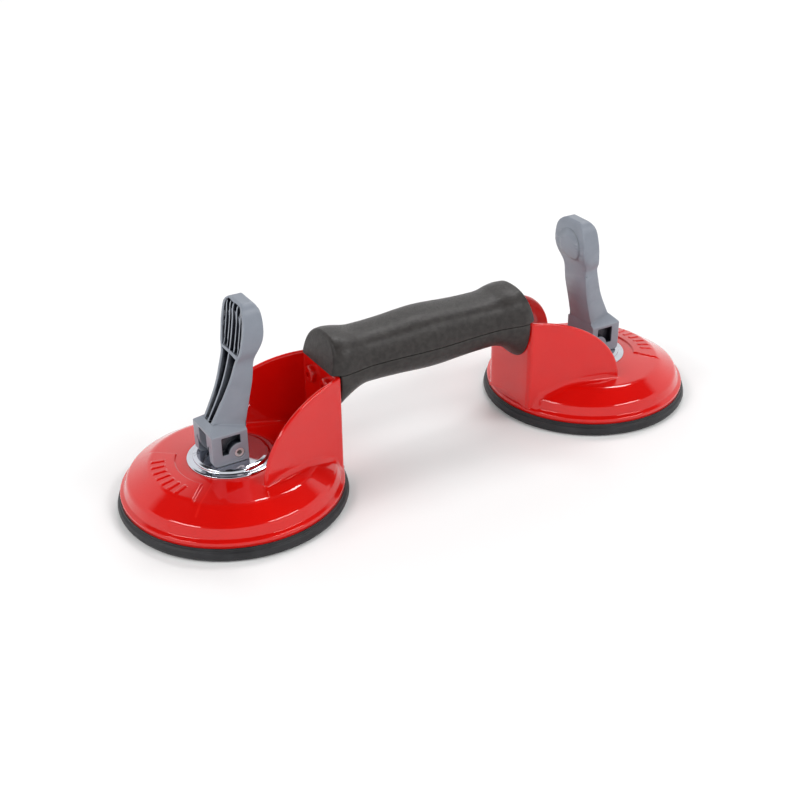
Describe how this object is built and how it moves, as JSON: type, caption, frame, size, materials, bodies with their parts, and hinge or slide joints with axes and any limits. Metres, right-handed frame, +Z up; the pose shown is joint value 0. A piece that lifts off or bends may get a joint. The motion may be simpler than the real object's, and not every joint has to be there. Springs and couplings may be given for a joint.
{
  "type": "double suction lifter",
  "caption": "Hand suction lifter: round rubber vacuum pads under red cast cups, joined by a black grip and locked by fold-down grey cam levers.",
  "frame": {"origin": "bottom centre: on the ground midway between the two cups", "axes": "+X along the handle from the left cup to the right cup, +Y across it, +Z up"},
  "size_m": [0.349, 0.12, 0.1101],
  "materials": {
    "red_enamel": "gloss enamel",
    "black_rubber": "matt",
    "zinc_steel": "zinc plated",
    "bright_steel": "turned",
    "chrome_steel": "polished chrome",
    "acetal": "satin",
    "spring_steel": "oiled",
    "grey_nylon": "satin",
    "black_abs": "fine grain",
    "red_screw": "gloss enamel",
    "black_screw": "black oxide"
  },
  "bodies": {
    "frame": {"cup_shell_left": "red_enamel", "rubber_pad_left": "black_rubber", "cam_washer_left": "chrome_steel", "guide_bush_left": "acetal", "release_spring_left": "spring_steel", "cup_shell_right": "red_enamel", "rubber_pad_right": "black_rubber", "cam_washer_right": "chrome_steel", "guide_bush_right": "acetal", "release_spring_right": "spring_steel", "handle_upper_shell": "black_abs", "handle_lower_shell": "black_abs", "handle_strap": "zinc_steel", "wall_screws": "red_screw", "wall_nuts": "zinc_steel", "shell_screws": "black_screw"},
    "stud_left": {"pull_stud_left": "bright_steel", "core_plate_left": "zinc_steel"},
    "lever_left": {"cam_lever_left": "grey_nylon", "pivot_pin_left": "bright_steel"},
    "stud_right": {"pull_stud_right": "bright_steel", "core_plate_right": "zinc_steel"},
    "lever_right": {"cam_lever_right": "grey_nylon", "pivot_pin_right": "bright_steel"}
  },
  "joints": [
    {"name": "stud_lift_left", "type": "slide", "parent": "frame", "child": "stud_left", "axis": [0, 0, 1], "range_m": [0, 0.0095], "deforming": ["release_spring_left", "rubber_pad_left"]},
    {"name": "lever_turn_left", "type": "hinge", "parent": "stud_left", "child": "lever_left", "pos_m": [-0.1145, 0, 0.0324], "axis": [0, -1, 0], "range_deg": [0, 90]},
    {"name": "stud_lift_right", "type": "slide", "parent": "frame", "child": "stud_right", "axis": [0, 0, 1], "range_m": [0, 0.0095], "deforming": ["release_spring_right", "rubber_pad_right"]},
    {"name": "lever_turn_right", "type": "hinge", "parent": "stud_right", "child": "lever_right", "pos_m": [0.1145, 0, 0.0324], "axis": [0, 1, 0], "range_deg": [0, 90]}
  ],
  "couplings": [
    {"joint": "stud_lift_left", "follows": "lever_turn_left", "m_per_rad": 0.0060479},
    {"joint": "stud_lift_right", "follows": "lever_turn_right", "m_per_rad": 0.0060479}
  ]
}
